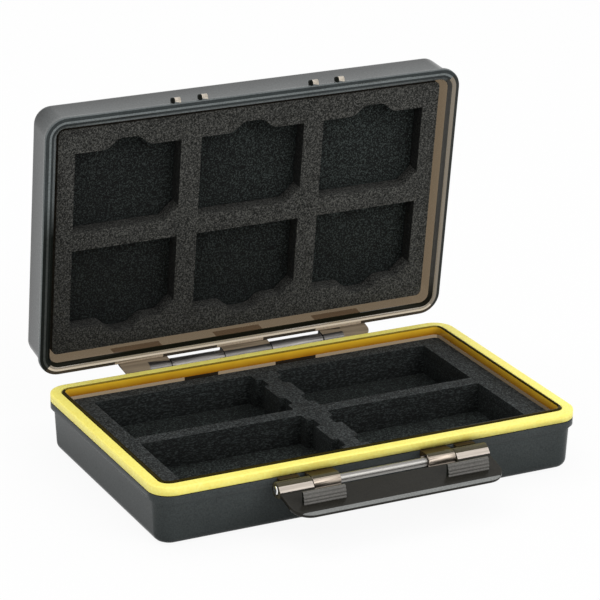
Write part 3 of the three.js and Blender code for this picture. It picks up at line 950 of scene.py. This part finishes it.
# the band just behind the plate's free edge, painted as a highlight
def onPlateHighlight(spot, normal):
    return levelSpot(spot).y < -shineStart and (levelLatch @ normal).z > latchForm["edgeSlope"]


def onLatchKnee(spot, normal):
    return levelSpot(spot).y > -latchForm["knuckleFront"]


def shapeLatch(piece):
    front = levelLatch.transposed() @ Vector((0, -1, 0))
    for ahead in (latchForm["knuckleFront"], shineStart):
        cutLoop(latchLine + front * ahead, front)


latchBar = mouldedPiece(
    "latch_bar", "latch", "latch",
    smoke["plateSmoke"], shell["sharpAngle"], shapeLatch)
# paints the latch: painted shade on the hook ends and barrels, painted highlights on the plate's
# edge and the knee
paintInTurn(latchBar, (
    (smoke["hookSmoke"], onHook),
    (smoke["blackSmoke"], hookEnd),
    (smoke["plateEdgeSmoke"], onPlateHighlight),
    (steel["kneeSteel"], onLatchKnee),
    (smoke["barrelTopSmoke"], onLatchBarrel),
))

sealForm = {"sharpAngle": 50}
mouldedPiece("seal_ring", "gasket", "base", yellowSeal, sealForm["sharpAngle"])

# the latch pin's two ends, where they stand clear of its knuckles, are painted near white: a
# painted highlight
pinForm = {"sharpAngle": 40, "latchPinShows": 0.03275}


def pinPiece(name, nodeName):
    return mouldedPiece(
        name, nodeName, "base", steel["drawnSteel"], pinForm["sharpAngle"])


def onPinEnd(spot, normal):
    return abs(spot.x) > pinForm["latchPinShows"]


pinPiece("hinge_rod", "hinge_pin")
latchRod = pinPiece("latch_rod", "latch_pin")
paintFaces(latchRod, steel["brightSteel"], onPinEnd)
print("plastic, seal and steel pieces placed")


# foam pieces: cut edges just softened
foamForm = {
    "flatAngle": 0.5,
    "edgeSoftness": 0.00035,
    "edgeSteps": 2,
    "edgeAngle": 40,
    "smoothAngle": 50,
    "shadedSlope": -0.95,
    "wallSlope": 0.3,
    "rimWidth": 0.0011,
}
foamRim = baseForm["wallInset"] + foamForm["rimWidth"]


def foamPiece(name, nodeName, body, material):
    piece = weldedCopy(name, nodeName)
    bpy.ops.object.mode_set(mode="EDIT")
    bpy.ops.mesh.select_all(action="SELECT")
    bpy.ops.mesh.dissolve_limited(angle_limit=math.radians(foamForm["flatAngle"]))
    bpy.ops.object.mode_set(mode="OBJECT")
    addModifier(piece, "BEVEL", {
        "width": foamForm["edgeSoftness"],
        "segments": foamForm["edgeSteps"],
        "limit_method": "ANGLE",
        "angle_limit": math.radians(foamForm["edgeAngle"]),
    })
    addModifier(piece, "TRIANGULATE", {})
    piece.data.materials.append(material)
    bpy.ops.object.shade_smooth_by_angle(angle=math.radians(foamForm["smoothAngle"]))
    settle(piece, nodeName, body)
    return piece


# the pockets' walls that face -x and the foam's edge by the lid wall, painted as shade
def onShadedCardSide(spot, normal):
    return normal.x < foamForm["shadedSlope"] or inward(shutSpot(spot)) < foamRim


def onCellWall(spot, normal):
    return abs(normal.z) < foamForm["wallSlope"]


cardBlock = foamPiece("lid_pocket_block", "lid_foam", "lid", foam["lidFaceFoam"])
# painted shade on the card pockets' walls that face -x and by the lid wall
paintFaces(cardBlock, foam["pocketSideFoam"], onShadedCardSide)
foamPiece("lid_back_sheet", "lid_backing_foam", "lid", foam["lidPocketFoam"])
cellBlock = foamPiece("base_pocket_block", "base_foam", "base", foam["baseBlockFoam"])
paintFaces(cellBlock, foam["cellWallFoam"], onCellWall)
foamPiece("base_floor_sheet", "base_floor_foam", "base", foam["pocketFoam"])
print("foam pieces placed")


# pale floor, white to the eye, that keeps the case's shadow
stage = {
    "floorSize": 4.0,
    "floorDrop": -0.0001,
    "floorGrey": (0.80, 0.80, 0.80),
    "floorPale": (0.82, 0.82, 0.82),
    "cloudScale": 3.0,
    "gloss": 0.9,
    "glossSpread": 0.1,
    "mirror": 0.1,
    "shadowShare": 0.08,
    "ambient": 0.84,
}


def seenRays(finish):
    kinds = ["Is Camera Ray", "Is Glossy Ray", "Is Transmission Ray"]
    camera, glossy, through = [finish.node("LightPath", {}, {}, kind) for kind in kinds]
    return camera.maths("MAXIMUM", camera.maths("MAXIMUM", camera, glossy), through)


def paleFloor():
    bpy.ops.object.select_all(action="DESELECT")
    bpy.ops.mesh.primitive_plane_add(
        size=stage["floorSize"], location=(0, 0, stage["floorDrop"]))
    floor = bpy.context.object
    floor.name = "pale_floor"
    material, finish = newFinish("paleFloor")
    cloud = finish.noise(finish.place(), stage["cloudScale"])
    matt = finish.solid({
        "Base Color": finish.blend(cloud, rgba(stage["floorGrey"]), rgba(stage["floorPale"])),
        "Roughness": stage["gloss"] + stage["glossSpread"] * cloud.swing(),
        "Specular IOR Level": stage["mirror"],
    })
    glow = finish.node("Emission", {}, {"Color": rgba(white), "Strength": 1.0})
    finish.show(finish.stack(seenRays(finish) * (1 - stage["shadowShare"]), matt, glow))
    floor.data.materials.append(material)


def whiteRoom():
    world = bpy.data.worlds.new("whiteRoom")
    world.use_nodes = True
    bpy.context.scene.world = world
    finish = Finish(world.node_tree)
    level = stage["ambient"] + (1 - stage["ambient"]) * seenRays(finish)
    room = finish.node("Background", {}, {"Color": rgba(white), "Strength": level})
    finish.node("OutputWorld", {}, {"Surface": room})


def softLamp(name, spot, aim, size, power):
    bpy.ops.object.select_all(action="DESELECT")
    bpy.ops.object.light_add(type="AREA", location=spot)
    lamp = bpy.context.object
    lamp.name = name
    lamp.data.shape = "RECTANGLE"
    lamp.data.size, lamp.data.size_y = size
    lamp.data.energy = power
    lamp.rotation_euler = (Vector(aim) - Vector(spot)).to_track_quat("-Z", "Y").to_euler()


lamps = {
    "overBack": {
        "spot": (-0.25, 0.35, 1.00), "aim": (0, 0.02, 0.05), "size": (0.9, 0.7), "power": 2.6},
    "overFront": {
        "spot": (0.40, -0.80, 0.62), "aim": (0, 0, 0.04), "size": (0.7, 0.7), "power": 4.2},
}
paleFloor()
whiteRoom()
for lampName, lamp in lamps.items():
    softLamp(lampName, **lamp)
print("floor, room and lamps set")


# camera, as the photograph was taken
view = {
    "azimuth": -26.46,
    "elevation": 20.26,
    "roll": 0.54,
    "spot": (-0.35593, -0.70771, 0.34084),
    "lens": 177.115,
    "sensor": 36.0,
    "near": 0.05,
    "far": 20.0,
}


def photoCamera():
    turn, lift, roll = [math.radians(view[key]) for key in ("azimuth", "elevation", "roll")]
    ahead = math.cos(lift)
    back = Vector((math.sin(turn) * ahead, -math.cos(turn) * ahead, math.sin(lift)))
    level = Vector((math.cos(turn), math.sin(turn), 0))
    upward = back.cross(level)
    right = level * math.cos(roll) + upward * math.sin(roll)
    upright = upward * math.cos(roll) - level * math.sin(roll)
    data = bpy.data.cameras.new("photoCamera")
    data.lens = view["lens"]
    data.sensor_width = view["sensor"]
    data.clip_start = view["near"]
    data.clip_end = view["far"]
    camera = bpy.data.objects.new("photoCamera", data)
    bpy.context.scene.collection.objects.link(camera)
    facing = Matrix((right, upright, back)).transposed().to_4x4()
    camera.matrix_world = Matrix.Translation(view["spot"]) @ facing
    bpy.context.scene.camera = camera


photoCamera()
bpy.context.scene.view_settings.view_transform = "Standard"
